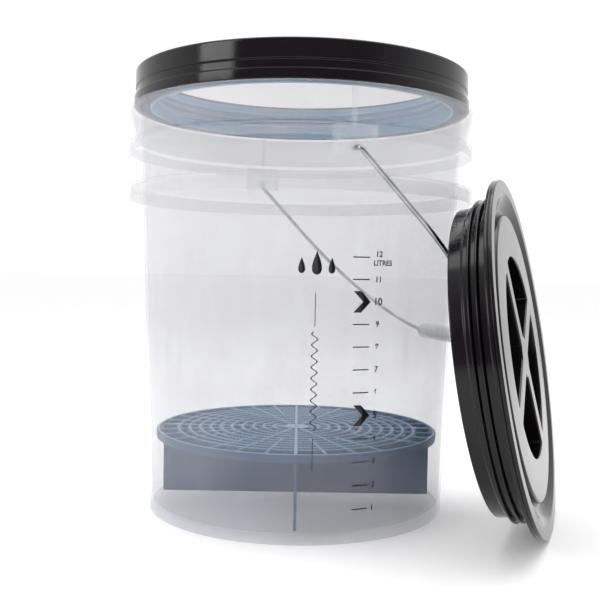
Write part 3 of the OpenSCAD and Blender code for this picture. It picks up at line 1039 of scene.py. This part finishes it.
def build_emblem(bm):
    """Three water drops above a wavy line between two upright rules."""
    middle = 5.6 * DEGREE
    drop(bm, middle, 0.2185, 0.0185)
    for side in (-0.0115, 0.0115):
        drop(bm, middle + side, 0.2165, 0.0125)
    ripple(bm, middle - 0.0006, 0.090, 0.166, 0.0022, 0.0085, 0.0011)
    for bottom, top in ((0.170, 0.196), (0.059, 0.084)):
        add_shape(bm, [(middle - 0.0009, bottom), (middle - 0.0003, bottom),
                       (middle - 0.0003, top), (middle - 0.0009, top)])


def build_print(material):
    """Litre scale, chevrons and a plain emblem on the front of the wall."""
    bm = bmesh.new()
    build_scale(bm)
    build_emblem(bm)
    wrap(bm)
    mesh = bpy.data.meshes.new("print_marks")
    bm.to_mesh(mesh)
    bm.free()
    piece = add_piece("print_marks", mesh, "pail", material)
    thick = piece.modifiers.new("thick", "SOLIDIFY")
    thick.thickness = PRINT_T
    thick.offset = 1.0


# ---------------------------------------------------------------- stage

def build_floor(material):
    """A wide plain floor under the pail's foot."""
    bm = bmesh.new()
    bmesh.ops.create_grid(bm, x_segments=8, y_segments=8, size=FLOOR_HALF)
    mesh = bpy.data.meshes.new("floor")
    bm.to_mesh(mesh)
    bm.free()
    floor = bpy.data.objects.new("floor", mesh)
    bpy.context.collection.objects.link(floor)
    mesh.materials.append(material)


def add_area(name, place_at, aim, size, power, colour=(1.0, 1.0, 1.0)):
    """A soft square lamp that points at a spot."""
    data = bpy.data.lights.new(name, "AREA")
    data.size = size
    data.energy = power
    data.color = colour
    lamp = bpy.data.objects.new(name, data)
    bpy.context.collection.objects.link(lamp)
    lamp.location = place_at
    lamp.rotation_mode = "QUATERNION"
    lamp.rotation_quaternion = (Vector(aim) - Vector(place_at)).to_track_quat("-Z", "Y")


def build_world():
    """White studio all round, darker on the side where the camera stands."""
    world = bpy.data.worlds.new("studio")
    world.use_nodes = True
    bpy.context.scene.world = world
    tree = world.node_tree
    background = tree.nodes["Background"]
    coordinates = tree.nodes.new("ShaderNodeTexCoord")
    split = tree.nodes.new("ShaderNodeSeparateXYZ")
    tree.links.new(coordinates.outputs["Generated"], split.inputs["Vector"])
    towards = spread(tree, split.outputs["Y"], 0.0, 1.0, -0.75, -0.05)
    shade = blend_colours(tree, towards, (0.26, 0.24, 0.27), (1.0, 1.0, 1.0))
    tree.links.new(shade, background.inputs["Color"])
    background.inputs["Strength"].default_value = 1.06


def build_camera():
    """The photograph's view: level to a degree or two, from just above the middle."""
    level = math.cos(PITCH)
    forward = Vector((math.sin(YAW) * level, math.cos(YAW) * level, math.sin(PITCH)))
    right = Vector((math.cos(YAW), -math.sin(YAW), 0.0))
    up = right.cross(forward)
    across = right * math.cos(ROLL) + up * math.sin(ROLL)
    upward = up * math.cos(ROLL) - right * math.sin(ROLL)
    data = bpy.data.cameras.new("camera")
    data.sensor_width = 36.0
    data.lens = LENS_MM
    data.clip_start = 0.05
    data.clip_end = 120.0
    camera = bpy.data.objects.new("camera", data)
    bpy.context.collection.objects.link(camera)
    matrix = Matrix((across, upward, -forward)).transposed().to_4x4()
    matrix.translation = CAMERA_AT
    camera.matrix_world = matrix
    bpy.context.scene.camera = camera


def dress_node(name, material):
    """Gives a carried CAD node a procedural material."""
    node = frame["nodes"][name]
    node.data.materials.clear()
    node.data.materials.append(material)


build_camera()
build_world()
black = black_plastic()
rubber = seal_rubber()
build_pail(milky_plastic(), clear_plastic())
build_ring(black, neck_plastic())
build_bail(zinc_wire())
build_grip(grip_plastic())
build_guard(blue_plastic())
build_lid(black)
build_print(print_ink())
dress_node("ring_gasket", rubber)
dress_node("lid_seal", rubber)
build_floor(floor_paint())
add_area("top_box", (0.1, 0.2, 1.7), (0.0, 0.0, 0.0), 1.6, 16.0)
add_area("left_box", (-1.3, -0.9, 1.0), (0.0, 0.0, 0.2), 0.7, 7.0, (1.0, 0.985, 0.97))
bpy.context.scene.view_settings.view_transform = "Standard"
# A view through the pail crosses more see-through faces than Blender's usual 8.
bpy.context.scene.cycles.transparent_max_bounces = 32
